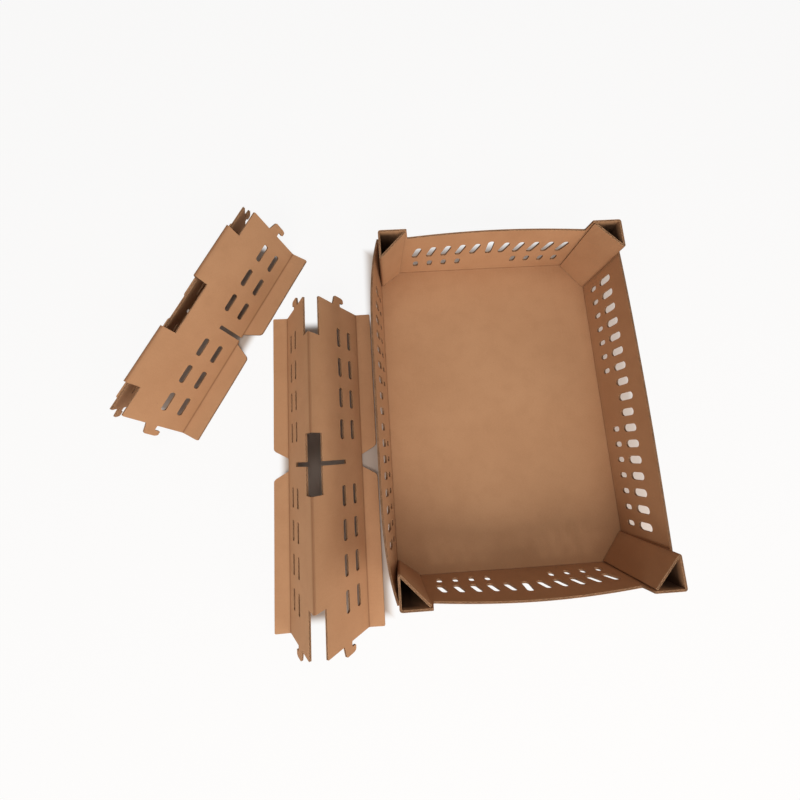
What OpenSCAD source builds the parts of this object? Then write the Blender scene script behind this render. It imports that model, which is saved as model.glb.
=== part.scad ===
// Baby chick box: an open corrugated tray with four corner posts, and the two tent-folded
// dividers that cross inside it, standing beside the tray.
// The origin is the middle of the tray's underside. X is the tray's width, Y its length.

/* [Board] */
// Thickness of the corrugated board
board = 3.5; // [2.5:0.1:5]

/* [Tray] */
// Outside width of the tray at its floor
tray_w = 428; // [380:1:480]
// Outside length of the tray at its floor
tray_l = 600; // [540:1:680]
// Height of the tray's walls
wall_h = 115; // [100:1:130]
// Height of the corner posts
post_h = 138; // [132:1:170]
// Leg of a corner post along the end wall, at its top
post_leg_x = 53; // [36:1:54]
// Leg of a corner post along the side wall, at its top
post_leg_y = 53; // [36:1:56]
// Leg of a left post along the end wall, at its foot
left_foot_x = 44; // [34:1:60]
// Leg of a left post along the side wall, at its foot
left_foot_y = 32; // [28:1:60]
// Leg of a right post along the end wall, at its foot
right_foot_x = 48; // [34:1:60]
// Leg of a right post along the side wall, at its foot
right_foot_y = 58; // [34:1:62]
// Outward bow of the left wall's rim
bow_left = 18; // [1:1:30]
// Squareness of the left wall's bow: 2 is a plain arc, more keeps the bow nearly to the corners
bow_left_square = 5; // [2:0.5:6]
// Outward bow of the right wall's rim
bow_right = 6; // [1:1:30]
// Outward bow of the front wall's rim
bow_front = 8; // [1:1:30]
// Outward bow of the back wall's rim
bow_back = 7; // [1:1:30]

/* [Tray vents] */
// Distance between neighbouring vent slots
vent_pitch = 28; // [24:1:30]
// Height of the lower end of the upper slots
vent_z = 54; // [50:1:64]
// Height of an upper slot
vent_h = 30; // [22:1:32]
// Width of an upper slot in a side wall
side_vent_w = 14; // [8:1:15]
// Upper slots on each side of the middle of a side wall
side_vents = 8; // [4:1:8]
// Width of an upper slot in an end wall
end_vent_w = 12; // [6:1:13]
// Upper slots on each side of the middle of an end wall
end_vents = 5; // [3:1:5]
// Slant of the upper slots in the end walls, in degrees
end_vent_slant = 20; // [0:1:25]
// Extra height of the middle slot of a row
middle_vent_extra = 4; // [0:1:8]
// Height of the middle of the lower slots
low_vent_z = 34; // [24:1:36]
// Height of a lower slot
low_vent_h = 17; // [10:1:18]
// Width of a lower slot
low_vent_w = 10; // [5:1:11]
// Slots left out of the lower row on each side of the middle
low_vent_gap = 1; // [0:1:3]

/* [Dividers] */
// Length of the long divider
long_l = 584; // [500:1:592]
// Length of the short divider
short_l = 420; // [380:1:420]
// Height of a divider's panel, from its foot crease to its ridge
panel_h = 134; // [120:1:140]
// Width of the long divider's foot flanges
long_flange_w = 29; // [20:1:34]
// Width of the short divider's foot flanges
short_flange_w = 34; // [20:1:36]
// Half of the long divider's spread between its foot creases
long_run = 68; // [50:1:80]
// Half of the short divider's spread between its foot creases
short_run = 58; // [50:1:80]
// Depth of the cut-outs below the ridge
ridge_cut = 25; // [18:1:30]
// Length of the cut-out in the middle of the ridge
middle_cut_l = 100; // [70:1:110]
// Length of the cut-outs at the ends of the long divider's ridge
long_end_cut_l = 73; // [50:1:76]
// Length of the cut-outs at the ends of the short divider's ridge
short_end_cut_l = 54; // [30:1:56]
// Depth of the long divider's cross slot, down from the ridge
long_lap = 85; // [78:1:90]
// Depth of the short divider's cross slot, up from its foot
short_lap = 50; // [40:1:54]
// Clearance of a cross slot on the two boards that go into it
lap_clear = 0.5; // [0.2:0.1:2]
// Width of the flange notch at the flange's free edge
notch_wide = 54; // [40:1:60]
// Width of the flange notch at the crease
notch_narrow = 22; // [16:1:30]

/* [Divider vents] */
// Length of a divider's vent slot
slot_l = 36; // [24:1:40]
// Width of a divider's vent slot
slot_w = 10; // [4:1:12]
// Distance between neighbouring slots along the divider
slot_pitch = 57; // [50:1:58]
// Height of the lower row above the foot crease, along the panel
slot_low = 27; // [22:1:32]
// Height of the upper row above the foot crease, along the panel
slot_high = 57; // [48:1:60]
// Distance from the long divider's middle to its first slot
long_slot_first = 58; // [50:1:60]
// Slots on each side of the middle of the long divider
long_slots = 4; // [2:1:4]
// Distance from the short divider's middle to its first slot
short_slot_first = 49; // [46:1:54]
// Slots on each side of the middle of the short divider
short_slots = 3; // [1:1:3]

/* [Divider hooks] */
// Height of a hook's neck
hook_neck = 19; // [12:1:20]
// Drop of a hook's lip below its neck
hook_drop = 10; // [4:1:10]
// Length of a hook's lip along the divider
hook_lip = 10; // [5:1:12]
// Clearance between a hook's lip and the wall it goes through
hook_clear = 5; // [1:0.5:7]

/* [Layout] */
// Place of the long divider's middle across the tray's width
long_x = -336; // [-420:1:-330]
// Place of the long divider's middle along the tray's length
long_y = -84; // [-120:1:0]
// Place of the short divider's middle across the tray's width
short_x = -550; // [-700:1:-546]
// Place of the short divider's middle along the tray's length
short_y = 200; // [196:1:300]
// Turn of the short divider, clockwise from the tray's length, in degrees
short_turn = 30.7; // [26:0.1:36]

/* [Hidden] */
$fn = 32;
kraft = [0.72, 0.51, 0.34];
inner_kraft = [0.66, 0.46, 0.31];
side_stations = 16;
end_stations = 12;
seat = 0.8; // how far a post's panels run into the walls they are glued to
cut_over = 1; // how far a cutter runs past what it cuts
lap_w = 2 * board + lap_clear;
hook_out = board + hook_clear + hook_lip;
hook_top = panel_h - (vent_z - board) - hook_neck;

// Outward offset of a rim that bows over the given span, at place x along the wall.
function rim_bow(x, span, bow, square) = bow * max(0, 1 - pow(abs(2 * x / span), square));

// One station of a bowed wall: outer foot, inner foot, inner rim, outer rim.
function wall_station(x, span, bow, square) = let (out = rim_bow(x, span, bow, square)) [
    [x, 0, 0], [x, -board, 0], [x, out - board, wall_h], [x, out, wall_h]
];

// A standing wall along X. Its foot is straight, and its rim bows out towards +Y over the span.
module bowed_wall(l, span, bow, square, stations) {
    bowed = [for (i = [0 : stations]) span * (i / stations - 0.5)];
    places = span < l ? concat([-l / 2], bowed, [l / 2]) : bowed;
    last = 4 * (len(places) - 1);
    points = [for (x = places) each wall_station(x, span, bow, square)];
    skin = [for (i = [0 : len(places) - 2], k = [0 : 3])
        [4 * i + k, 4 * i + (k + 1) % 4, 4 * i + 4 + (k + 1) % 4, 4 * i + 4 + k]];
    triangles = [for (q = skin) each [[q[0], q[1], q[2]], [q[0], q[2], q[3]]]];
    ends = [[0, 2, 1], [0, 3, 2], [last, last + 1, last + 2], [last, last + 2, last + 3]];
    polyhedron(points, concat(triangles, ends), convexity = 6);
}

// A round-ended slot, its length along Y, cut depth along Z.
module slot_shape(w, l, depth) {
    linear_extrude(depth, center = true) {
        square([w, l - w], center = true);
        for (end = [-1, 1])
            translate([0, end * (l - w) / 2])
                circle(d = w);
    }
}

// Cutters for both rows of vents in a wall that stands along X.
module wall_vents(count, w, bow, slant) {
    depth = 2 * (bow + board) + 4 * cut_over;
    rotate([90, 0, 0]) {
        for (i = [-count : count]) {
            extra = i == 0 ? middle_vent_extra : 0;
            translate([i * vent_pitch, vent_z + (vent_h + extra) / 2, 0])
                rotate([0, 0, i == 0 ? 0 : -slant])
                    slot_shape(w, vent_h + extra, depth);
            if (abs(i) > low_vent_gap)
                translate([i * vent_pitch, low_vent_z, 0])
                    slot_shape(low_vent_w, low_vent_h, depth);
        }
    }
}

// A side wall bows from corner to corner.
module side_wall(bow, square) {
    length = tray_l - board;
    translate([0, tray_w / 2, 0])
        difference() {
            bowed_wall(length, length, bow, square, side_stations);
            wall_vents(side_vents, side_vent_w, bow, 0);
        }
}

// An end wall bows between the two posts that it is folded into.
module end_wall(bow) {
    translate([0, tray_l / 2, 0])
        difference() {
            bowed_wall(tray_w, tray_w - 2 * post_leg_x, bow, 2, end_stations);
            wall_vents(end_vents, end_vent_w, bow, end_vent_slant);
        }
}

// Legs of the hollow in a triangle with legs a and b, whose three sides are a board thick.
function hollow_leg(a, b) = a - board * (1 + (norm([a, b]) + a) / b);
function hollow_legs(legs) = [hollow_leg(legs[0], legs[1]), hollow_leg(legs[1], legs[0])];

// A triangular prism with its right angle in a corner, and legs that change from foot to top.
module corner_prism(corner, foot, top, high) {
    x = corner[0];
    y = corner[1];
    polyhedron(
        [[x, y, 0], [x - foot[0], y, 0], [x, y - foot[1], 0],
         [x, y, high], [x - top[0], y, high], [x, y - top[1], high]],
        [[0, 1, 2], [3, 5, 4], [0, 4, 1], [0, 3, 4], [1, 5, 2], [1, 4, 5], [2, 3, 0], [2, 5, 3]]
    );
}

// The hollow post in the corner where X and Y are largest.
module corner_post(foot) {
    corner = [tray_w / 2 - board + seat, tray_l / 2 - seat / 2];
    top = [post_leg_x, post_leg_y];
    difference() {
        corner_prism(corner, foot, top, post_h);
        translate([0, 0, board])
            corner_prism(corner - [board, board], hollow_legs(foot), hollow_legs(top), post_h);
    }
}

module tray() {
    color(kraft) {
        translate([-tray_w / 2 + board / 2, -tray_l / 2 + board / 2, 0])
            cube([tray_w - board, tray_l - board, board]);
        end_wall(bow_back);
        mirror([0, 1, 0])
            end_wall(bow_front);
        rotate([0, 0, 90])
            side_wall(bow_left, bow_left_square);
        rotate([0, 0, -90])
            side_wall(bow_right, 2);
        for (left = [false, true], front = [0, 1])
            mirror([left ? 1 : 0, 0, 0])
                mirror([0, front, 0])
                    corner_post(left ? [left_foot_x, left_foot_y] : [right_foot_x, right_foot_y]);
    }
}

// Height of a tent's ridge, slope of its panels, and the section of the folded board across it.
function tent_rise(run) = sqrt(pow(panel_h, 2) - pow(run, 2));
function tent_slope(run) = atan2(tent_rise(run), run);
function tent_ridge(run) = board / 2 + tent_rise(run);
function tent_section(run, flange_w) = let (
    slope = tent_slope(run),
    lift = board / 2 / cos(slope),
    shift = (lift - board / 2) / tan(slope),
    edge = run + flange_w,
    ridge = tent_ridge(run)
) [
    [edge, 0], [edge, board], [run + shift, board], [0, ridge + lift], [-run - shift, board],
    [-edge, board], [-edge, 0], [-run + shift, 0], [0, ridge - lift], [run - shift, 0]
];

// Places its children on both panels: X down the panel from the ridge, Y along the divider.
module on_panels(run) {
    for (side = [0, 1])
        mirror([side, 0, 0])
            translate([0, 0, tent_ridge(run)])
                rotate([0, tent_slope(run), 0])
                    children();
}

// What is cut away past a panel's end, leaving its hook tab. Y is 0 at the panel's end.
module end_trim() {
    lip_start = board + hook_clear;
    linear_extrude(4 * board, center = true)
        difference() {
            translate([-panel_h / 4, 0])
                square([1.5 * panel_h, hook_out + cut_over]);
            polygon([
                [hook_top, -cut_over], [hook_top + hook_lip / 2, hook_out],
                [hook_top + hook_neck + hook_drop / 2, hook_out],
                [hook_top + hook_neck + hook_drop, hook_out - hook_lip / 3],
                [hook_top + hook_neck + hook_drop, lip_start],
                [hook_top + hook_neck, lip_start], [hook_top + hook_neck, -cut_over]
            ]);
        }
}

// A cut-out below the ridge, on both panels, of length l and centred at place y.
module ridge_cutout(run, y, l) {
    on_panels(run)
        translate([-board, y - l / 2, -2 * board])
            cube([board + ridge_cut, l, 4 * board]);
}

// The notch in the middle of both flanges, wider at the free edge than at the crease.
module flange_notches(run, flange_w) {
    start = run - board / 4;
    edge = run + flange_w + cut_over;
    for (side = [0, 1])
        mirror([side, 0, 0])
            translate([0, 0, -cut_over])
                linear_extrude(board + 2 * cut_over)
                    polygon([[start, -notch_narrow / 2], [edge, -notch_wide / 2],
                        [edge, notch_wide / 2], [start, notch_narrow / 2]]);
}

// A folded divider, its ridge along Y, with everything but its cross slot.
module tent(l, run, flange_w, first_slot, slots, end_cut_l) {
    reach = l / 2 + hook_out;
    difference() {
        rotate([90, 0, 0])
            linear_extrude(2 * reach, center = true)
                polygon(tent_section(run, flange_w));
        on_panels(run)
            for (i = [0 : slots - 1], end = [-1, 1], up = [slot_low, slot_high])
                translate([panel_h - up, end * (first_slot + i * slot_pitch), 0])
                    slot_shape(slot_w, slot_l, 4 * board);
        for (end = [0, 1])
            mirror([0, end, 0]) {
                on_panels(run)
                    translate([0, l / 2, 0])
                        end_trim();
                translate([-run - flange_w - cut_over, l / 2, -cut_over])
                    cube([2 * (run + flange_w + cut_over), hook_out + cut_over, 3 * board]);
                ridge_cutout(run, l / 2, 2 * end_cut_l);
            }
        ridge_cutout(run, 0, middle_cut_l);
        flange_notches(run, flange_w);
    }
}

module long_divider() {
    ridge = tent_ridge(long_run);
    depth = long_lap * sin(tent_slope(long_run));
    color(inner_kraft)
        translate([long_x, long_y, 0])
            difference() {
                tent(long_l, long_run, long_flange_w, long_slot_first, long_slots, long_end_cut_l);
                translate([-long_run, -lap_w / 2, ridge - depth])
                    cube([2 * long_run, lap_w, depth + board]);
            }
}

module short_divider() {
    height = board / 2 + short_lap * sin(tent_slope(short_run));
    half = short_run + 2 * board;
    color(inner_kraft)
        translate([short_x, short_y, 0])
            rotate([0, 0, -short_turn])
                difference() {
                    tent(short_l, short_run, short_flange_w, short_slot_first, short_slots, short_end_cut_l);
                    translate([-half, -lap_w / 2, -cut_over])
                        cube([2 * half, lap_w, height + cut_over]);
                }
}

tray();
long_divider();
short_divider();
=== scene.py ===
import math

import bmesh
import bpy
from mathutils import Euler, Matrix, Vector, noise
from mathutils.geometry import delaunay_2d_cdt


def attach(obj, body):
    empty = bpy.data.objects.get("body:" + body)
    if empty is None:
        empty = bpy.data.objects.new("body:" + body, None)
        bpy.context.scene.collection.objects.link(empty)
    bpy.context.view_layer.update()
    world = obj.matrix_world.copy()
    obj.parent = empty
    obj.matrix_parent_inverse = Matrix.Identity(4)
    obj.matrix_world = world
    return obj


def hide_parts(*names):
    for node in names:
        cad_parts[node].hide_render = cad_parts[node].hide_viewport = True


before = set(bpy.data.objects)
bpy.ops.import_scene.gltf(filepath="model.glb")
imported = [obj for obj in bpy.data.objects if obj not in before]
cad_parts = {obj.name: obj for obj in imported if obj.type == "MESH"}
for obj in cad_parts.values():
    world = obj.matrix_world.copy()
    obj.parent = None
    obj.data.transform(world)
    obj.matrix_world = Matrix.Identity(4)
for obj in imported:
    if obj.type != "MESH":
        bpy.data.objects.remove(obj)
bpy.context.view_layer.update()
print("frame loaded:", sorted(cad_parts))

mm = 0.001

# the corrugated board that all three sheets are cut from
board = {
    "thick": 3.5 * mm,
    "foldReach": 3.2 * mm,  # of a fold on each side of its crease
    "foldSteps": 4,
    "foldRoom": 1.3,  # in fold reaches: where a fold's own mesh lines replace the even ones
    "creaseShadeReach": 2.3 * mm,  # of the painted shade along a crease
    "meshStep": 11 * mm,  # largest step of a sheet's mesh
    "lineClear": 0.05 * mm,  # least distance of a mesh line from an outline's point
    "weld": 0.01 * mm,
    "touch": 1e-7,  # points this near lie on one another
    "probe": 0.02 * mm,  # step for measuring a folded sheet's slope
    "sharpAngle": math.radians(38),
    "waver": 0.7 * mm,  # slight unevenness of a handled sheet
    "waverScale": 6.0,  # waves in a metre
}


class NodeMaker:
    # shorthand for adding nodes to a tree

    def __init__(self, tree):
        self.tree = tree
        self.nodes = tree.nodes
        self.links = tree.links

    def feed(self, socket, value):
        if hasattr(value, "is_output"):
            self.links.new(value, socket)
        elif socket.type == "RGBA":
            socket.default_value = value + (1.0,)
        else:
            socket.default_value = value

    def add(self, kind, sockets=None, output=0, **settings):
        node = self.nodes.new(kind)
        for title, value in settings.items():
            setattr(node, title, value)
        for title, value in (sockets or {}).items():
            self.feed(node.inputs[title], value)
        return node.outputs[output]

    def math(self, operation, a, b=None):
        sockets = {0: a} if b is None else {0: a, 1: b}
        return self.add("ShaderNodeMath", sockets, operation=operation)

    def mix(self, share, a, b):
        # sockets 6 and 7 and output 2 are the ones for colours
        return self.add("ShaderNodeMix", {0: share, 6: a, 7: b}, 2, data_type="RGBA")

    def stretched(self, vector, scale, shift=(0.0, 0.0, 0.0)):
        return self.add("ShaderNodeMapping", {"Vector": vector, "Scale": scale, "Location": shift})

    def noise(self, vector, scale=1.0, detail=3.0, rough=0.55):
        sockets = {"Vector": vector, "Scale": scale, "Detail": detail, "Roughness": rough}
        return self.add("ShaderNodeTexNoise", sockets, "Fac")

    def ramp(self, value, low, high):
        sockets = {"Value": value, "From Min": low, "From Max": high}
        return self.add("ShaderNodeMapRange", sockets, interpolation_type="SMOOTHSTEP")

    def attribute(self, title):
        return self.add("ShaderNodeAttribute", None, "Fac", attribute_name=title)

    def bump(self, height, distance, strength, below=None):
        sockets = {"Height": height, "Distance": distance, "Strength": strength}
        if below is not None:
            sockets["Normal"] = below
        return self.add("ShaderNodeBump", sockets)

    def eitherRay(self, *kinds):
        path = self.nodes.new("ShaderNodeLightPath")
        seen = path.outputs[kinds[0]]
        for kind in kinds[1:]:
            seen = self.math("MAXIMUM", seen, path.outputs[kind])
        return seen


# the rays that meet plain white: the camera's own, and those that gloss and glass send on
whiteRays = ("Is Camera Ray", "Is Glossy Ray", "Is Transmission Ray")


# materials: the liners lie on the sheet's flat map, so that their grain turns with the folds

kraft = {
    "liner": (0.475, 0.248, 0.124),
    "linerDark": (0.395, 0.195, 0.092),
    "fleckDark": (0.20, 0.095, 0.045),
    "fleckPale": (0.60, 0.36, 0.20),
    # the cut edge's own darker brown, and painted shade of the open flutes behind the wires
    "shadedRawEdge": (0.20, 0.098, 0.048),
    "wire": (0.46, 0.25, 0.13),
    # painted shade: a dark line along each fold
    "crease": (0.20, 0.085, 0.036),
    # painted shade: the dark insides of the posts
    "hollow": (0.035, 0.014, 0.006),
    "trayTone": 1.0,
    "dividerTone": 1.04,
    "roughness": 0.74,
    "roughnessSpread": 0.16,
    "gloss": 0.22,
    "grainRelief": 0.05 * mm,
    "reliefStrength": 0.6,
    "creaseShare": 0.85,
    "hollowShare": 0.9,
}
# layers on the liner, from the lowest up: scale is along u and v in a metre,
# and ramp says where a layer starts and where it is full
kraftLayers = {
    "clouds": {
        "scale": (7.0, 7.0, 1.0), "shift": (0.0, 0.0, 0.0), "detail": 4.0, "rough": 0.55,
        "ramp": (0.25, 0.8), "share": 0.6, "colour": "linerDark",
    },
    "blotches": {
        "scale": (34.0, 34.0, 1.0), "shift": (105.4, 57.8, 0.0), "detail": 3.0, "rough": 0.55,
        "ramp": (0.4, 0.75), "share": 0.35, "colour": "linerDark",
    },
    "fibres": {
        "scale": (260.0, 1400.0, 1.0), "shift": (0.0, 0.0, 0.0), "detail": 3.0, "rough": 0.65,
        "ramp": (0.45, 0.75), "share": 0.22, "colour": "fleckPale",
    },
    "crossFibres": {
        "scale": (1500.0, 330.0, 1.0), "shift": (0.4, 0.9, 0.0), "detail": 2.0, "rough": 0.6,
        "ramp": (0.5, 0.8), "share": 0.16, "colour": "fleckDark",
    },
    "darkFlecks": {
        "scale": (300.0, 900.0, 1.0), "shift": (7.0, 2.0, 0.0), "detail": 2.0, "rough": 0.55,
        "ramp": (0.66, 0.78), "share": 0.5, "colour": "fleckDark",
    },
    "paleFlecks": {
        "scale": (800.0, 260.0, 1.0), "shift": (1.0, 5.0, 0.0), "detail": 2.0, "rough": 0.55,
        "ramp": (0.68, 0.80), "share": 0.45, "colour": "fleckPale",
    },
}
# the flutes that show through the liner, in patches
washboard = {
    "pitch": 7.6 * mm,
    "patchScale": 11.0,
    "patchDetail": 2.0,
    "patchRamp": (0.35, 0.75),
    "ramp": (0.1, 1.0),
    "share": 0.10,
    "relief": 0.04 * mm,
}
cutEdge = {
    "grainScale": 900.0,
    "grainRamp": (0.45, 0.75),
    "grainShare": 0.35,
    "grainRelief": 0.08 * mm,
    "reliefStrength": 0.7,
    "patchScale": 60.0,
    "patchDetail": 2.0,
    "patchRamp": (0.3, 0.7),
    "edgePatch": 0.7,  # how dark a patch is
    "wirePatch": 0.8,
    "roughness": 0.92,
    "gloss": 0.15,
}


def newMaterial(name):
    material = bpy.data.materials.new(name)
    material.use_nodes = True
    maker = NodeMaker(material.node_tree)
    return material, maker, maker.nodes["Principled BSDF"]


def washWaves(maker, flat):
    across = maker.add("ShaderNodeSeparateXYZ", {0: flat}, "X")
    wave = maker.math("SINE", maker.math("MULTIPLY", across, 2 * math.pi / washboard["pitch"]))
    patches = maker.noise(flat, washboard["patchScale"], washboard["patchDetail"])
    return maker.math("MULTIPLY", wave, maker.ramp(patches, *washboard["patchRamp"]))


def linerMaterial(name, tone):
    material, maker, shader = newMaterial(name)
    flat = maker.add("ShaderNodeUVMap", uv_map="flat")
    colours = dict(kraft)
    for key in ("liner", "linerDark"):
        colours[key] = tuple(c * tone for c in kraft[key])
    grain = {}
    colour = colours["liner"]
    for title, layer in kraftLayers.items():
        spread = maker.stretched(flat, layer["scale"], layer["shift"])
        grain[title] = maker.noise(spread, 1.0, layer["detail"], layer["rough"])
        share = maker.math("MULTIPLY", maker.ramp(grain[title], *layer["ramp"]), layer["share"])
        colour = maker.mix(share, colour, colours[layer["colour"]])
    wash = washWaves(maker, flat)
    washShare = maker.math("MULTIPLY", maker.ramp(wash, *washboard["ramp"]), washboard["share"])
    colour = maker.mix(washShare, colour, colours["linerDark"])
    # painted shade: a dark line along each fold, and the dark insides of the posts
    for title in ("crease", "hollow"):
        share = maker.math("MULTIPLY", maker.attribute(title), kraft[title + "Share"])
        colour = maker.mix(share, colour, kraft[title])
    rough = maker.math("MULTIPLY", grain["fibres"], kraft["roughnessSpread"])
    waves = maker.bump(wash, washboard["relief"], kraft["reliefStrength"])
    fibreHeight = maker.math("ADD", grain["fibres"], grain["crossFibres"])
    relief = maker.bump(fibreHeight, kraft["grainRelief"], kraft["reliefStrength"], waves)
    maker.feed(shader.inputs["Base Color"], colour)
    maker.feed(shader.inputs["Roughness"], maker.math("ADD", rough, kraft["roughness"]))
    maker.feed(shader.inputs["Normal"], relief)
    shader.inputs["Specular IOR Level"].default_value = kraft["gloss"]
    return material


def edgeMaterial(name, colourKey, patch):
    material, maker, shader = newMaterial(name)
    coords = maker.add("ShaderNodeTexCoord", None, "Object")
    grain = maker.noise(coords, cutEdge["grainScale"])
    patches = maker.noise(coords, cutEdge["patchScale"], cutEdge["patchDetail"])
    base = kraft[colourKey]
    colour = maker.mix(maker.ramp(patches, *cutEdge["patchRamp"]), base, tuple(c * patch for c in base))
    grainShare = maker.math("MULTIPLY", maker.ramp(grain, *cutEdge["grainRamp"]), cutEdge["grainShare"])
    colour = maker.mix(grainShare, colour, kraft["fleckPale"])
    maker.feed(shader.inputs["Base Color"], colour)
    maker.feed(shader.inputs["Normal"], maker.bump(grain, cutEdge["grainRelief"], cutEdge["reliefStrength"]))
    shader.inputs["Roughness"].default_value = cutEdge["roughness"]
    shader.inputs["Specular IOR Level"].default_value = cutEdge["gloss"]
    return material


trayLiner = linerMaterial("trayLiner", kraft["trayTone"])
dividerLiner = linerMaterial("dividerLiner", kraft["dividerTone"])
# raw edges: their own brown, darkened as painted shade of the open flutes
shadedRawEdge = edgeMaterial("shadedRawEdge", "shadedRawEdge", cutEdge["edgePatch"])
fluteWire = edgeMaterial("fluteWire", "wire", cutEdge["wirePatch"])
print("materials made")


# outlines in the flat, as lists of 2D points

def bend(start, corner, end, t):
    # a smooth turn from start to end, drawn towards the corner
    return start * (1 - t) ** 2 + corner * 2 * t * (1 - t) + end * t * t


def roundedLoop(corners, steps=5):
    # corners are (u, v) or (u, v, radius)
    mostOfEdge = 0.45  # that one rounded corner may take
    loop = []
    for i, corner in enumerate(corners):
        here = Vector(corner[:2])
        radius = corner[2] if len(corner) > 2 else 0.0
        if radius <= 0.0:
            loop.append(here)
            continue
        before = Vector(corners[i - 1][:2]) - here
        after = Vector(corners[(i + 1) % len(corners)][:2]) - here
        cut = radius / math.tan(before.angle(after) / 2)
        cut = min(cut, before.length * mostOfEdge, after.length * mostOfEdge)
        start = here + before.normalized() * cut
        end = here + after.normalized() * cut
        loop += [bend(start, here, end, k / steps) for k in range(steps + 1)]
    return loop


def mirroredLoop(quarter):
    # a quarter outline, from near u = 0 to near v = 0, made into the whole outline
    low = [(p[0], -p[1]) + tuple(p[2:]) for p in reversed(quarter)]
    half = quarter + low
    left = [(-p[0], p[1]) + tuple(p[2:]) for p in reversed(half)]
    return half + left


# trees with named inputs, each run once into a plain mesh

def newTree(name, inputs):
    tree = bpy.data.node_groups.new(name, "GeometryNodeTree")
    tree.interface.new_socket("Geometry", in_out="OUTPUT", socket_type="NodeSocketGeometry")
    for title, kind in inputs.items():
        tree.interface.new_socket(title, in_out="INPUT", socket_type="NodeSocket" + kind)
    return NodeMaker(tree), tree.nodes.new("NodeGroupInput").outputs


def finishTree(maker, geometry, material):
    real = maker.add("GeometryNodeRealizeInstances", {"Geometry": geometry})
    painted = maker.add("GeometryNodeSetMaterial", {"Geometry": real, "Material": material})
    result = maker.nodes.new("NodeGroupOutput")
    maker.links.new(painted, result.inputs["Geometry"])
    return maker.tree


def socketKey(tree, title):
    sockets = (s for s in tree.interface.items_tree if s.in_out == "INPUT")
    return next(s.identifier for s in sockets if s.name == title)


def treeMesh(tree, source, values, name):
    holder = bpy.data.objects.new(name + "Maker", source)
    bpy.context.scene.collection.objects.link(holder)
    modifier = holder.modifiers.new(tree.name, "NODES")
    modifier.node_group = tree
    for title, value in values.items():
        modifier[socketKey(tree, title)] = value
    bpy.context.view_layer.update()
    graph = bpy.context.evaluated_depsgraph_get()
    made = bpy.data.meshes.new_from_object(holder.evaluated_get(graph))
    bpy.data.objects.remove(holder)
    bpy.data.meshes.remove(source)
    made.name = name
    return made


# rows of slots: a round-ended outline on each point of a line

slotEnds = {
    "roundShare": 0.48,  # radius to the slot's width
    "cornerSteps": 4,
}


def slotRowTree():
    maker, given = newTree("slotRow", {
        "Count": "Int", "Pitch": "Float", "Start": "Float", "Width": "Float", "Length": "Float",
        "Slant": "Float", "Material": "Material",
    })
    start = maker.add("ShaderNodeCombineXYZ", {"X": given["Start"]})
    step = maker.add("ShaderNodeCombineXYZ", {"X": given["Pitch"]})
    turn = maker.add("ShaderNodeCombineXYZ", {"Z": given["Slant"]})
    spread = {"Count": given["Count"], "Start Location": start, "Offset": step}
    line = maker.add("GeometryNodeMeshLine", spread)
    size = {"Width": given["Width"], "Height": given["Length"]}
    quad = maker.add("GeometryNodeCurvePrimitiveQuadrilateral", size)
    narrow = maker.math("MINIMUM", given["Width"], given["Length"])
    rounding = {
        "Curve": quad,
        "Count": slotEnds["cornerSteps"],
        "Radius": maker.math("MULTIPLY", narrow, slotEnds["roundShare"]),
    }
    rounded = maker.add("GeometryNodeFilletCurve", rounding, mode="POLY")
    outline = maker.add("GeometryNodeCurveToMesh", {"Curve": rounded})
    row = maker.add("GeometryNodeInstanceOnPoints", {"Points": line, "Instance": outline, "Rotation": turn})
    return finishTree(maker, row, given["Material"])


slotTree = slotRowTree()


def slotLoops(count, pitch, first, height, width, length, slant=0.0):
    # outlines of a row of slots whose middles lie at v = height
    values = {
        "Count": count, "Pitch": pitch, "Start": first, "Width": width, "Length": length, "Slant": slant,
        "Material": shadedRawEdge,
    }
    made = treeMesh(slotTree, bpy.data.meshes.new("slotSeed"), values, "slotOutlines")
    each = len(made.vertices) // count
    spots = [(v.co.x, v.co.y + height) for v in made.vertices]
    bpy.data.meshes.remove(made)
    return [spots[i * each:(i + 1) * each] for i in range(count)]


# a flat blank, filled, cut into a fine mesh and folded

def meshLines(low, high, folds):
    step, reach, steps = board["meshStep"], board["foldReach"], board["foldSteps"]
    lines = [low + step * k for k in range(1, int((high - low) / step) + 1)]
    lines = [x for x in lines if all(abs(x - fold) > board["foldRoom"] * reach for fold in folds)]
    for fold in folds:
        lines += [fold + reach * (2 * k / steps - 1) for k in range(steps + 1)]
    return sorted(x for x in lines if low < x < high)


def clearedLine(x, marks):
    # moves a mesh line off the outline's own points, where it would leave slivers
    while any(abs(x - mark) < board["lineClear"] for mark in marks):
        x += board["lineClear"]
    return x


def insideLoop(spot, loop):
    # counts the loop's edges that a line from the spot along u crosses
    inside = False
    for a, b in zip(loop, loop[1:] + loop[:1]):
        if (a[1] > spot.y) != (b[1] > spot.y):
            crossing = a[0] + (spot.y - a[1]) * (b[0] - a[0]) / (b[1] - a[1])
            inside ^= spot.x < crossing
    return inside


def fillBlank(loops):
    # triangles between the first loop, the outline, and the others, its holes
    spots, rims, owners = [], [], []
    for number, loop in enumerate(loops):
        first = len(spots)
        spots += [Vector(p) for p in loop]
        rims += [(first + k, first + (k + 1) % len(loop)) for k in range(len(loop))]
        owners += [number] * len(loop)
    wholeHull = 0  # of the kinds of result that the filling gives
    filled = delaunay_2d_cdt(spots, rims, [], wholeHull, board["touch"], True)
    places, triangles, origins = filled[0], filled[2], filled[3]
    sheet = bmesh.new()
    corners = [sheet.verts.new((p.x, p.y, 0.0)) for p in places]
    for triangle in triangles:
        touched = {owners[origins[k][0]] for k in triangle}
        centre = sum((places[k] for k in triangle), Vector((0.0, 0.0))) / 3
        number = touched.pop()
        # a triangle on one loop alone may lie beyond the outline or in a hole
        if touched or insideLoop(centre, loops[number]) == (number == 0):
            sheet.faces.new([corners[k] for k in triangle])
    return sheet


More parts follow.
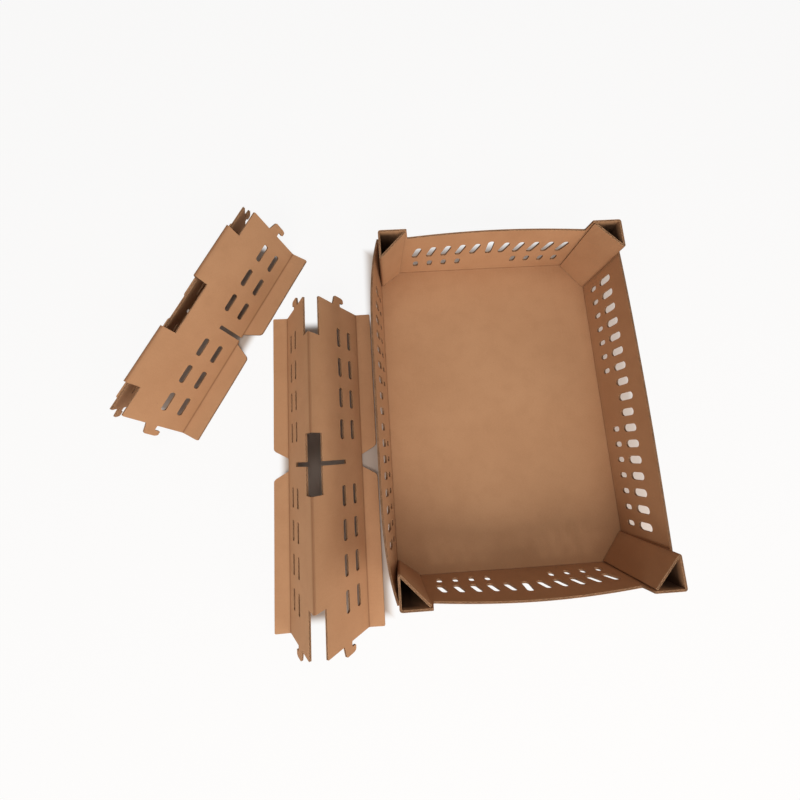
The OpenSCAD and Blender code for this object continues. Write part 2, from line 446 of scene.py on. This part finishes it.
def cutBlank(outline, holes, uLines, vLines):
    loops = [outline] + holes
    sheet = fillBlank(loops)
    for axis, lines in enumerate((uLines, vLines)):
        marks = [p[axis] for loop in loops for p in loop]
        normal = Vector((axis == 0, axis == 1, 0.0))
        for x in lines:
            everything = sheet.verts[:] + sheet.edges[:] + sheet.faces[:]
            point = normal * clearedLine(x, marks)
            bmesh.ops.bisect_plane(sheet, geom=everything, dist=board["touch"], plane_co=point,
                                   plane_no=normal)
    bmesh.ops.remove_doubles(sheet, verts=sheet.verts[:], dist=board["weld"])
    if sum(f.normal.z for f in sheet.faces) < 0:
        bmesh.ops.reverse_faces(sheet, faces=sheet.faces[:])
    return sheet


def straightPath(x, knots):
    k = 0
    while k < len(knots) - 2 and x > knots[k + 1][0]:
        k += 1
    low, high = knots[k], knots[k + 1]
    t = (x - low[0]) / (high[0] - low[0])
    return Vector(low[1]).lerp(Vector(high[1]), t)


def bentPath(x, knots):
    # a place on a bent line, whose corners are rounded over a fold's reach on each side
    reach = board["foldReach"]
    for at, corner in knots[1:-1]:
        if abs(x - at) < reach:
            before = straightPath(at - reach, knots)
            after = straightPath(at + reach, knots)
            return bend(before, Vector(corner), after, (x - at + reach) / (2 * reach))
    return straightPath(x, knots)


# how much painted shade a point gets at this distance from a crease
def nearness(distance):
    return math.exp(-(distance / board["creaseShadeReach"]) ** 2)


def waver(place):
    return board["waver"] * noise.noise(place * board["waverScale"])


def slope(fold, u, v, du, dv):
    # change of place along one flat direction, taken on the side where the sheet isn't cut
    here = fold(u, v)
    ahead = fold(u + du, v + dv) - here
    behind = here - fold(u - du, v - dv)
    step = math.hypot(du, dv)
    return ahead if abs(ahead.length - step) < abs(behind.length - step) else behind


# no painted shade inside posts, for sheets without posts
def noPostShade(u, v):
    return 0.0


def foldSheet(sheet, fold, creaseShades, postShades=noPostShade):
    # fold(u, v) gives a place, the second function the painted shade along the creases, the third the
    # painted shade inside a post
    flatLayer = sheet.loops.layers.uv.new("flat")
    creaseShadeLayer = sheet.verts.layers.float.new("crease")
    postShadeLayer = sheet.verts.layers.float.new("hollow")
    step = board["probe"]
    for corner in (c for f in sheet.faces for c in f.loops):
        corner[flatLayer].uv = corner.vert.co.xy
    flat = {v: v.co.xy.copy() for v in sheet.verts}
    normals = {}
    for v, (x, y) in flat.items():
        v[creaseShadeLayer] = creaseShades(x, y)
        v[postShadeLayer] = postShades(x, y)
        normals[v] = slope(fold, x, y, step, 0.0).cross(slope(fold, x, y, 0.0, step)).normalized()
        v.co = fold(x, y)
    return sheet, flat, normals


def boardFromSheet(sheet, normals, name, materials):
    # two liners, half the board's thickness to each side of the sheet, and raw edges between them
    whole = sheet.copy()
    offsets = [normals[v] * (board["thick"] / 2) for v in sheet.verts]
    postShadeLayer = whole.verts.layers.float["hollow"]
    upper = whole.verts[:]
    rims = [e for e in whole.edges if e.is_boundary]
    made = bmesh.ops.duplicate(whole, geom=whole.verts[:] + whole.edges[:] + whole.faces[:])
    partner = made["vert_map"]
    lowerFaces = [f for f in made["geom"] if isinstance(f, bmesh.types.BMFace)]
    for v, offset in zip(upper, offsets):
        low = partner[v]
        low.co = v.co - offset
        v.co = v.co + offset
        # the underside gets no painted shade of a post's inside
        low[postShadeLayer] = 0.0
    bmesh.ops.reverse_faces(whole, faces=lowerFaces)
    flatLayer = whole.loops.layers.uv["flat"]
    for edge in rims:
        corner = edge.link_loops[0]
        a, b = corner.vert, corner.link_loop_next.vert
        side = whole.faces.new((b, a, partner[a], partner[b]))
        side.material_index = 1
        spots = {a: corner[flatLayer].uv.copy(), b: corner.link_loop_next[flatLayer].uv.copy()}
        for loop, key in zip(side.loops, (b, a, a, b)):
            loop[flatLayer].uv = spots[key]
    mesh = bpy.data.meshes.new(name)
    whole.to_mesh(mesh)
    whole.free()
    for material in materials:
        mesh.materials.append(material)
    mesh.shade_smooth()
    mesh.set_sharp_from_angle(angle=board["sharpAngle"])
    return mesh


# open flutes on the raw edges that cut across them: a waved wire between two straight ones

openEdge = {
    "liner": 0.45 * mm,  # thickness of a liner
    "waveInset": 1.6,  # from the board's face to the wave's crest, in liners
    "wireShare": 0.62,  # radius of a wire, in liners
    "wireSides": 4,
    "waveSteps": 8.0,  # points to a flute
    "lift": 0.1 * mm,  # how far the wires stand out of the edge
    "steepness": 2.0,  # an edge counts if it runs this much more across the flutes than along them
}


def flutesTree():
    maker, given = newTree("openFlutes", {
        "Geometry": "Geometry", "Pitch": "Float", "Wave": "Float", "Liner offset": "Float", "Wire": "Float",
        "Lift": "Float", "Material": "Material",
    })

    def towards(title, length):
        named = maker.add("GeometryNodeInputNamedAttribute", {"Name": title}, data_type="FLOAT_VECTOR")
        return maker.add("ShaderNodeVectorMath", {0: named, "Scale": length}, operation="SCALE")

    def wire(curve, sideways):
        moves = {0: towards("across", sideways), 1: towards("outward", given["Lift"])}
        shift = maker.add("ShaderNodeVectorMath", moves, operation="ADD")
        moved = maker.add("GeometryNodeSetPosition", {"Geometry": curve, "Offset": shift})
        section = {"Resolution": openEdge["wireSides"], "Radius": given["Wire"]}
        ring = maker.add("GeometryNodeCurvePrimitiveCircle", section)
        sweep = {"Curve": moved, "Profile Curve": ring, "Fill Caps": True}
        return maker.add("GeometryNodeCurveToMesh", sweep)

    lines = maker.add("GeometryNodeMeshToCurve", {"Mesh": given["Geometry"]})
    spacing = maker.math("DIVIDE", given["Pitch"], openEdge["waveSteps"])
    fine = maker.add("GeometryNodeResampleCurve", {"Curve": lines, "Length": spacing}, mode="LENGTH")
    along = maker.add("GeometryNodeSplineParameter", None, "Length")
    turns = maker.math("DIVIDE", along, given["Pitch"])
    swing = maker.math("SINE", maker.math("MULTIPLY", turns, 2 * math.pi))
    farLiner = maker.math("MULTIPLY", given["Liner offset"], -1.0)
    wires = (
        wire(fine, maker.math("MULTIPLY", swing, given["Wave"])),
        wire(lines, given["Liner offset"]),
        wire(lines, farLiner),
    )
    joined = maker.nodes.new("GeometryNodeJoinGeometry")
    for part in wires:
        maker.links.new(part, joined.inputs[0])
    return finishTree(maker, joined.outputs[0], given["Material"])


fluteTree = flutesTree()


def rawEdges(sheet, flat, normals, wanted, name):
    # the cut edges that run across the flutes, with the directions that a wire needs
    picked, away = [], {}
    for edge in (e for e in sheet.edges if e.is_boundary):
        a, b = edge.verts
        run = flat[b] - flat[a]
        if abs(run.x) < openEdge["steepness"] * abs(run.y) or not wanted((flat[a] + flat[b]) / 2):
            continue
        out = (b.co - a.co).cross(normals[a] + normals[b])
        if out.dot((a.co + b.co) / 2 - edge.link_faces[0].calc_center_median()) < 0:
            out.negate()
        out.normalize()
        picked.append((a, b))
        for v in (a, b):
            away[v] = away.get(v, Vector()) + out
    index = {v: number for number, v in enumerate(away)}
    mesh = bpy.data.meshes.new(name)
    mesh.from_pydata([v.co.copy() for v in away], [(index[a], index[b]) for a, b in picked], [])
    directions = {
        "across": [normals[v] for v in away],
        "outward": [out.normalized() for out in away.values()],
    }
    for title, vectors in directions.items():
        layer = mesh.attributes.new(title, "FLOAT_VECTOR", "POINT")
        layer.data.foreach_set("vector", [x for vector in vectors for x in vector])
    return mesh


def openFlutes(sheet, flat, normals, wanted, name):
    seed = rawEdges(sheet, flat, normals, wanted, name + "Edges")
    liner = openEdge["liner"]
    values = {
        "Pitch": washboard["pitch"],
        "Wave": board["thick"] / 2 - openEdge["waveInset"] * liner,
        "Liner offset": board["thick"] / 2 - liner / 2,
        "Wire": openEdge["wireShare"] * liner,
        "Lift": openEdge["lift"],
        "Material": fluteWire,
    }
    return treeMesh(fluteTree, seed, values, name)


def addPiece(mesh, name, node=None):
    piece = bpy.data.objects.new(name, mesh)
    bpy.context.scene.collection.objects.link(piece)
    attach(piece, "root")
    if node:
        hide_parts(node)


# the tray: one blank, whose end walls run on into the panels that fold into the corner posts

tray = {
    "width": 428 * mm,
    "length": 600 * mm,
    "wallHeight": 115 * mm,
    "postHeight": 138 * mm,
    "postLegX": 53 * mm,
    "postLegY": 53 * mm,
    "leftFoot": (44 * mm, 32 * mm),  # legs of a left post at the floor
    "rightFoot": (48 * mm, 58 * mm),
    "bowLeft": 18 * mm,
    "bowLeftSquare": 5,  # 2 is an even curve, and more is flatter in the middle
    "bowRight": 6 * mm,
    "bowFront": 8 * mm,
    "bowBack": 7 * mm,
    "ventPitch": 28 * mm,
    "ventLow": 54 * mm,
    "ventHeight": 30 * mm,
    "middleExtra": 4 * mm,  # the middle vent of a wall is taller
    "sideVentWidth": 14 * mm,
    "sideVents": 8,
    "endVentWidth": 12 * mm,
    "endVents": 5,
    "endSlant": math.radians(20),
    "lowVentMiddle": 34 * mm,
    "lowVentHeight": 17 * mm,
    "lowVentWidth": 10 * mm,
    "lowVentGap": 1,  # vents left out of the low row on each side of the middle
    "hollowStart": 14 * mm,  # from a slanted panel's free edge to where the painted shade on the end wall inside a post begins
    "hollowShade": 9 * mm,  # depth at which the painted shade inside a post is full
    "cutGap": 1 * mm,  # the die's cut between a side wall and the panels beside it
    "cutInset": 0.5 * mm,  # of the cut's points from the folds beside it
    "cutSlack": 0.1 * mm,  # keeps the cut's own points on their side of it
    "sideShort": 0.2 * mm,  # a side wall ends this far from the tray's end
    "stepClear": 1.5 * mm,  # from a post's leg to the step in the rim
    "stepSlope": 2 * mm,
    "stepRound": 3 * mm,
    "rimRound": 2 * mm,
    "panelRound": 1.5 * mm,
    "plainFoot": 12 * mm,  # height of an end wall below which its cuts show no flutes
}


def ventLoops(count, width, slant):
    # both rows of a wall: u along the wall, v its height above the floor's middle
    base = board["thick"] / 2
    pitch = tray["ventPitch"]
    upper = tray["ventLow"] + tray["ventHeight"] / 2 - base
    tall = tray["ventHeight"] + tray["middleExtra"]
    loops = slotLoops(1, pitch, 0.0, tray["ventLow"] + tall / 2 - base, width, tall)
    loops += slotLoops(count, pitch, pitch, upper, width, tray["ventHeight"], -slant)
    loops += slotLoops(count, pitch, -count * pitch, upper, width, tray["ventHeight"], -slant)
    few = count - tray["lowVentGap"]
    small = (tray["lowVentMiddle"] - base, tray["lowVentWidth"], tray["lowVentHeight"])
    loops += slotLoops(few, pitch, (tray["lowVentGap"] + 1) * pitch, *small)
    loops += slotLoops(few, pitch, -count * pitch, *small)
    return loops


def bowAt(x, span, bow, square=2):
    return bow * max(0.0, 1 - abs(2 * x / span) ** square)


def traySizes():
    # folds and edges of the blank, measured from its middle
    thick = board["thick"]
    legX, legY = tray["postLegX"], tray["postLegY"]
    sideFold = tray["width"] / 2 - thick / 2
    postFold = tray["width"] / 2 - 1.5 * thick
    panelFold = postFold + legY - thick
    return {
        "sideFold": sideFold,
        "sideRim": sideFold + tray["wallHeight"] - thick / 2,
        "sideEnd": tray["length"] / 2 - tray["sideShort"],
        "endFold": tray["length"] / 2 - thick / 2,
        "rise": tray["wallHeight"] - thick / 2,
        "top": tray["postHeight"] - thick / 2,
        "postFold": postFold,
        "panelFold": panelFold,
        "panelEnd": panelFold + math.hypot(legX - 2 * thick, legY - 2 * thick),
        "step": tray["width"] / 2 - legX - tray["stepClear"],
        "panelFoot": tray["length"] / 2 + tray["cutGap"],
    }


def trayOutline(sizes):
    inset = tray["cutInset"]
    postTop = sizes["endFold"] + sizes["top"]
    relief = sizes["endFold"] - board["foldReach"] - inset
    return mirroredLoop([
        (sizes["step"], sizes["endFold"] + sizes["rise"], tray["stepRound"]),
        (sizes["step"] + tray["stepSlope"], postTop, tray["rimRound"]),
        (sizes["panelEnd"], postTop, tray["panelRound"]),
        (sizes["panelEnd"], sizes["panelFoot"]),
        (sizes["postFold"] - 3 * inset, sizes["panelFoot"]),
        (sizes["postFold"] - inset, relief),
        (sizes["sideFold"] - inset, sizes["sideEnd"]),
        (sizes["sideRim"], sizes["sideEnd"], tray["rimRound"]),
    ])


def trayHoles(sizes):
    holes = []
    for side in (-1, 1):
        for loop in ventLoops(tray["sideVents"], tray["sideVentWidth"], 0.0):
            holes.append([(side * (sizes["sideFold"] + v), u) for u, v in loop])
        for loop in ventLoops(tray["endVents"], tray["endVentWidth"], tray["endSlant"]):
            holes.append([(u, side * (sizes["endFold"] + v)) for u, v in loop])
    return holes


def trayBlank(sizes):
    uFolds = [sign * sizes[key] for key in ("sideFold", "postFold", "panelFold") for sign in (-1, 1)]
    vFolds = [-sizes["endFold"], sizes["endFold"]]
    reachU = max(sizes["sideRim"], sizes["panelEnd"])
    reachV = sizes["endFold"] + sizes["top"]
    uLines = meshLines(-reachU, reachU, uFolds)
    vLines = meshLines(-reachV, reachV, vFolds)
    return cutBlank(roundedLoop(trayOutline(sizes)), trayHoles(sizes), uLines, vLines)


def traySheet():
    sizes = traySizes()
    base = board["thick"] / 2
    nearEnd = sizes["endFold"] - board["foldReach"]

    def onEnd(u, v):
        betweenCuts = abs(u) < sizes["postFold"] - tray["cutInset"] + tray["cutSlack"]
        return abs(v) > nearEnd and (betweenCuts or abs(v) > sizes["sideEnd"] + tray["cutSlack"])

    def sidePlace(u, v):
        bow, square = (tray["bowRight"], 2) if u > 0 else (tray["bowLeft"], tray["bowLeftSquare"])
        lean = bowAt(v, tray["length"] - board["thick"], bow, square) * sizes["rise"] / tray["wallHeight"]
        foot = sizes["sideFold"]
        rim = (foot + lean, base + sizes["rise"])
        x, z = bentPath(abs(u), [(0.0, (0.0, base)), (foot, (foot, base)), (sizes["sideRim"], rim)])
        place = Vector((math.copysign(x, u), v, z))
        if abs(u) > foot:
            place.x += waver(place)
        return place

    def postLegs(u, z):
        footX, footY = tray["rightFoot"] if u > 0 else tray["leftFoot"]
        up = z / tray["postHeight"]
        return footX + (tray["postLegX"] - footX) * up, footY + (tray["postLegY"] - footY) * up

    def endPlan(u, z, bow):
        # the line that an end wall, a post's side panel and its slanted panel make at height z
        thick = board["thick"]
        legX, legY = postLegs(u, z)
        out = bowAt(u, tray["width"] - 2 * tray["postLegX"], bow) * max(0.0, z) / tray["wallHeight"]
        plane = sizes["endFold"]
        knots = [
            (0.0, (0.0, plane)),
            (sizes["postFold"], (sizes["postFold"], plane)),
            (sizes["panelFold"], (sizes["postFold"], plane - legY + thick)),
            (sizes["panelEnd"], (tray["width"] / 2 - legX + thick, plane - thick)),
        ]
        x, y = bentPath(abs(u), knots)
        return math.copysign(x, u), y + out

    def endPlace(u, v):
        bow = tray["bowBack"] if v > 0 else tray["bowFront"]
        up = abs(v) - sizes["endFold"]
        # in from the wall along the floor, then up the wall
        rise = [(-1.0, (1.0, base)), (0.0, (0.0, base)), (sizes["top"], (0.0, base + sizes["top"]))]
        inset, z = bentPath(up, rise)
        x, y = endPlan(u, z, bow)
        place = Vector((x, math.copysign(y - inset, v), z))
        if abs(u) < sizes["step"] and up > 0:
            place.y += waver(place)
        return place

    def fold(u, v):
        return endPlace(u, v) if onEnd(u, v) else sidePlace(u, v)

    # painted shade along the tray's folds
    def creaseShades(u, v):
        if abs(v) < nearEnd:
            return nearness(abs(u) - sizes["sideFold"])
        upright = max(nearness(abs(u) - sizes["postFold"]), nearness(abs(u) - sizes["panelFold"]))
        return max(upright if abs(v) > sizes["sideEnd"] else 0.0, nearness(abs(v) - sizes["endFold"]))

    def postShades(u, v):
        # painted shade inside a post: 0 at its open top, 1 well down inside it
        up = abs(v) - sizes["endFold"]
        if up < 0:
            return 0.0
        depth = sizes["top"] - up
        inside = abs(u) - tray["width"] / 2 + postLegs(u, up)[0] - tray["hollowStart"]
        if abs(u) > sizes["postFold"]:
            inside = depth
        return max(0.0, min(1.0, inside / tray["hollowShade"], depth / tray["hollowShade"]))

    return foldSheet(trayBlank(sizes), fold, creaseShades, postShades)


def makeTray():
    sheet, flat, normals = traySheet()
    body = boardFromSheet(sheet, normals, "trayBoard", (trayLiner, shadedRawEdge))
    addPiece(body, "trayBoard", "tray")
    walls = tray["width"] / 2
    ends = tray["length"] / 2 + tray["plainFoot"]
    wires = openFlutes(sheet, flat, normals, lambda p: abs(p.x) > walls or abs(p.y) > ends, "trayFlutes")
    addPiece(wires, "trayFlutes")
    print("tray made:", len(body.polygons), "faces,", len(wires.polygons), "in its edges")


makeTray()


# the dividers: each is one sheet, folded at its ridge and at its two foot flanges

divider = {
    "panel": 134 * mm,
    "ridgeCut": 25 * mm,
    "middleCut": 100 * mm,
    "lapClear": 0.5 * mm,
    "notchWide": 54 * mm,
    "notchNarrow": 22 * mm,
    "notchLip": 0.5 * mm,  # from the crease to the notch's narrow end
    "slotLength": 36 * mm,
    "slotWidth": 10 * mm,
    "slotPitch": 57 * mm,
    "slotLow": 27 * mm,
    "slotHigh": 57 * mm,
    "hookNeck": 19 * mm,
    "hookDrop": 10 * mm,
    "hookLip": 10 * mm,
    "hookClear": 5 * mm,
    "hookTaper": 2 * mm,
    "cutRound": 1 * mm,
    "cutSteps": 3,
    "neckRound": 2 * mm,
    "lipRound": 1.5 * mm,
    "hookRound": 3 * mm,
    "hookHeadRound": 4 * mm,
    "notchRound": 4 * mm,
    "flangeRound": 9 * mm,
    "flangeEndRound": 2.5 * mm,
    "flangeLift": 1.2 * mm,  # of a foot flange's free edge
    "liftScale": 9.0,  # waves in a metre
}
# run is the way from the ridge to a foot crease, seen from above; lapDown and lapUp are the depth of the
# cross lap, cut from the ridge or from the foot
longDivider = {
    "name": "longDivider", "node": "long_divider", "length": 584 * mm, "run": 68 * mm, "flange": 29 * mm,
    "endCut": 73 * mm, "lapDown": 85 * mm, "lapUp": 0.0, "firstSlot": 58 * mm, "slots": 4,
    "place": (-336 * mm, -84 * mm), "turn": 0.0, "shadeReach": 28 * mm,
}
shortDivider = {
    "name": "shortDivider", "node": "short_divider", "length": 420 * mm, "run": 58 * mm, "flange": 34 * mm,
    "endCut": 54 * mm, "lapDown": 0.0, "lapUp": 50 * mm, "firstSlot": 49 * mm, "slots": 3,
    "place": (-550 * mm, 200 * mm), "turn": math.radians(-30.7), "shadeReach": 0.0,
}


def dividerSizes(size):
    # folds and edges of the blank, measured from its middle
    half = size["length"] / 2
    neckLow = divider["panel"] - (tray["ventLow"] - board["thick"])
    lipStart = half + board["thick"] + divider["hookClear"]
    return {
        "half": half,
        "edge": divider["panel"] + size["flange"],
        "lap": board["thick"] + divider["lapClear"] / 2,
        "neckLow": neckLow,
        "hookTop": neckLow - divider["hookNeck"],
        "hookLow": neckLow + divider["hookDrop"],
        "lipStart": lipStart,
        "tip": lipStart + divider["hookLip"],
    }


def dividerOutline(size, sizes):
    crease, cut, tight = divider["panel"], divider["ridgeCut"], divider["cutRound"]
    half, edge, tip = sizes["half"], sizes["edge"], sizes["tip"]
    quarter = []
    if size["lapUp"]:
        quarter += [(sizes["lap"], crease - size["lapUp"], tight), (sizes["lap"], crease, tight)]
    quarter += [
        (divider["notchNarrow"] / 2, crease + divider["notchLip"], divider["notchRound"]),
        (divider["notchWide"] / 2, edge, divider["flangeRound"]),
        (half, edge, divider["flangeEndRound"]),
        (half, sizes["neckLow"], divider["neckRound"]),
        (sizes["lipStart"], sizes["neckLow"], divider["lipRound"]),
        (sizes["lipStart"], sizes["hookLow"], divider["neckRound"]),
        (tip - divider["hookTaper"], sizes["hookLow"], divider["hookRound"]),
        (tip, sizes["hookLow"] - divider["hookDrop"] / 2, divider["hookRound"]),
        (tip, sizes["hookTop"] + divider["hookLip"] / 2, divider["hookHeadRound"]),
        (half, sizes["hookTop"], divider["hookRound"]),
        (half, cut, divider["neckRound"]),
        (half - size["endCut"], cut, tight),
    ]
    return mirroredLoop(quarter)


def dividerHoles(size, sizes):
    wide, deep, tight = divider["middleCut"] / 2, divider["ridgeCut"], divider["cutRound"]
    corners = [(wide, deep, tight)]
    if size["lapDown"]:
        corners = [(sizes["lap"], size["lapDown"], tight), (sizes["lap"], deep), (wide, deep, tight)]
    holes = [roundedLoop(mirroredLoop(corners), divider["cutSteps"])]
    pitch = divider["slotPitch"]
    farFirst = -size["firstSlot"] - (size["slots"] - 1) * pitch
    for up in (divider["slotLow"], divider["slotHigh"]):
        for panel in (-1, 1):
            for first in (size["firstSlot"], farFirst):
                holes += slotLoops(size["slots"], pitch, first, panel * (divider["panel"] - up),
                                   divider["slotLength"], divider["slotWidth"])
    return holes


def dividerSheet(size):
    sizes = dividerSizes(size)
    crease, edge, tip = divider["panel"], sizes["edge"], sizes["tip"]
    base = board["thick"] / 2
    run = size["run"]
    ridge = base + math.sqrt(crease ** 2 - run ** 2)
    uLines = meshLines(-tip, tip, [])
    vLines = meshLines(-edge, edge, [-crease, 0.0, crease])
    blank = cutBlank(roundedLoop(dividerOutline(size, sizes)), dividerHoles(size, sizes), uLines, vLines)
    knots = [(-edge, (-run - size["flange"], base)), (-crease, (-run, base)), (0.0, (0.0, ridge)),
             (crease, (run, base)), (edge, (run + size["flange"], base))]
    stand = Matrix.Translation(Vector(size["place"] + (0.0,))) @ Matrix.Rotation(size["turn"], 4, "Z")

    def fold(u, v):
        x, z = bentPath(v, knots)
        place = stand @ Vector((x, u, z))
        onPanel = math.sin(math.pi * min(1.0, abs(v) / crease))
        sway = waver(place) * onPanel
        place += stand.to_3x3() @ Vector((math.copysign(1.0, v) * sway, 0.0, 0.0))
        lift = max(0.0, abs(v) - crease) / size["flange"]
        place.z += lift ** 2 * divider["flangeLift"] * (1 + noise.noise(place * divider["liftScale"]))
        return place

    # painted shade along the ridge and the foot creases
    def creaseShades(u, v):
        return max(nearness(v), nearness(abs(v) - crease))

    return foldSheet(blank, fold, creaseShades)


def makeDivider(size):
    sheet, flat, normals = dividerSheet(size)
    body = boardFromSheet(sheet, normals, size["name"] + "Board", (dividerLiner, shadedRawEdge))
    addPiece(body, size["name"] + "Board", size["node"])
    wires = openFlutes(sheet, flat, normals, lambda p: True, size["name"] + "Flutes")
    addPiece(wires, size["name"] + "Flutes")
    print(size["name"], "made:", len(body.polygons), "faces,", len(wires.polygons), "in its edges")


makeDivider(longDivider)
makeDivider(shortDivider)


# stage, light and camera

studio = {
    "floorSize": 6.0,
    "floorDrop": 0.2 * mm,  # keeps the floor clear of the boards' undersides
    "floorColour": (0.69, 0.60, 0.53),
    "underShadeColour": (0.42, 0.34, 0.28),  # painted shade on the floor under the dividers
    "floorRoughness": 0.9,
    "whiteShare": 0.9,  # how far the open floor is seen as plain white
    "shadePlace": (21 * mm, 22 * mm),  # the tray's shade lies behind its right and back walls
    "shadeHalf": (247 * mm, 314 * mm),
    "shadeSoft": (0.0, 24 * mm),  # where a shade ends, measured out from its outline
    "underSoft": (-26 * mm, -6 * mm),
    "world": 0.1,
    "target": (-0.15, 0.0, 0.0),
    "lamps": {  # place, size, power
        "frontLight": ((-0.3, -2.1, 1.6), 1.5, 40.0),
        "topLight": ((0.0, 0.3, 2.4), 2.0, 23.0),
        "rightFill": ((1.4, -1.3, 1.0), 1.2, 19.0),
        "leftFill": ((-1.6, -1.4, 1.3), 1.2, 13.0),
    },
}
view = {
    "place": (-0.205, -0.076, 0.6624),
    "tilt": (9.029, -0.981, -3.580),  # degrees
    "focalPixels": 339.5,
    "imagePixels": 800,
    "sensor": 36.0,
    "nearest": 0.01,  # that the camera draws
}


def clearOf(maker, place, turn, halfSize, soft):
    # 0 on a footprint and 1 away from it, by the distance to its outline
    coords = maker.add("ShaderNodeTexCoord", None, "Object")
    pose = {"Vector": coords, "Location": place + (0.0,), "Rotation": (0.0, 0.0, turn)}
    local = maker.add("ShaderNodeMapping", pose, vector_type="TEXTURE")
    away = []
    for axis, half in zip("XY", halfSize):
        spot = maker.add("ShaderNodeSeparateXYZ", {0: local}, axis)
        away.append(maker.math("SUBTRACT", maker.math("ABSOLUTE", spot), half))
    return maker.ramp(maker.math("MAXIMUM", *away), *soft)


def floorMaterial():
    material, maker, shader = newMaterial("paleFloor")
    shader.inputs["Roughness"].default_value = studio["floorRoughness"]
    clear = 1.0
    for size in (longDivider, shortDivider):
        beside = size["shadeReach"] / 2  # the floor between a divider and the tray gets the painted shade too, and no white
        under = (size["run"] + size["flange"] + beside, size["length"] / 2)
        middle = (size["place"][0] + beside, size["place"][1])
        away = clearOf(maker, middle, size["turn"], under, studio["underSoft"])
        clear = maker.math("MULTIPLY", clear, away)
    # painted shade: the floor is darker under the dividers
    colour = maker.mix(clear, studio["underShadeColour"], studio["floorColour"])
    maker.feed(shader.inputs["Base Color"], colour)
    besideTray = clearOf(maker, studio["shadePlace"], 0.0, studio["shadeHalf"], studio["shadeSoft"])
    share = maker.math("MULTIPLY", maker.eitherRay(*whiteRays), studio["whiteShare"])
    share = maker.math("MULTIPLY", maker.math("MULTIPLY", share, besideTray), clear)
    white = maker.add("ShaderNodeEmission", {"Strength": 1.0})
    shown = maker.add("ShaderNodeMixShader", {0: share, 1: shader.outputs[0], 2: white})
    maker.feed(maker.nodes["Material Output"].inputs["Surface"], shown)
    return material


def makeFloor():
    half = studio["floorSize"] / 2
    corners = [(-half, -half, 0), (half, -half, 0), (half, half, 0), (-half, half, 0)]
    mesh = bpy.data.meshes.new("floor")
    mesh.from_pydata(corners, [], [(0, 1, 2, 3)])
    mesh.materials.append(floorMaterial())
    floor = bpy.data.objects.new("floor", mesh)
    floor.location.z = -studio["floorDrop"]
    bpy.context.scene.collection.objects.link(floor)


def makeLight(name, place, size, power):
    lamp = bpy.data.lights.new(name, "AREA")
    lamp.energy = power
    lamp.size = size
    holder = bpy.data.objects.new(name, lamp)
    holder.location = place
    aim = Vector(studio["target"]) - Vector(place)
    holder.rotation_euler = aim.to_track_quat("-Z", "Y").to_euler()
    bpy.context.scene.collection.objects.link(holder)


def makeWorld():
    world = bpy.data.worlds.new("studio")
    world.use_nodes = True
    maker = NodeMaker(world.node_tree)
    ambient = maker.nodes["Background"]
    maker.feed(ambient.inputs["Color"], (1.0, 1.0, 1.0))
    maker.feed(ambient.inputs["Strength"], studio["world"])
    white = maker.add("ShaderNodeBackground", {"Color": (1.0, 1.0, 1.0)})
    seen = maker.eitherRay(*whiteRays)
    shown = maker.add("ShaderNodeMixShader", {0: seen, 1: ambient.outputs[0], 2: white})
    maker.feed(maker.nodes["World Output"].inputs["Surface"], shown)
    bpy.context.scene.world = world


def makeCamera():
    lens = bpy.data.cameras.new("camera")
    lens.sensor_width = view["sensor"]
    lens.lens = view["focalPixels"] / view["imagePixels"] * view["sensor"]
    lens.clip_start = view["nearest"]
    camera = bpy.data.objects.new("camera", lens)
    camera.location = view["place"]
    camera.rotation_euler = Euler([math.radians(a) for a in view["tilt"]], "XYZ")
    bpy.context.scene.collection.objects.link(camera)
    bpy.context.scene.camera = camera


makeFloor()
for lampName, lamp in studio["lamps"].items():
    makeLight(lampName, *lamp)
makeWorld()
makeCamera()
bpy.context.scene.view_settings.view_transform = "Standard"
print("stage, light and camera made")
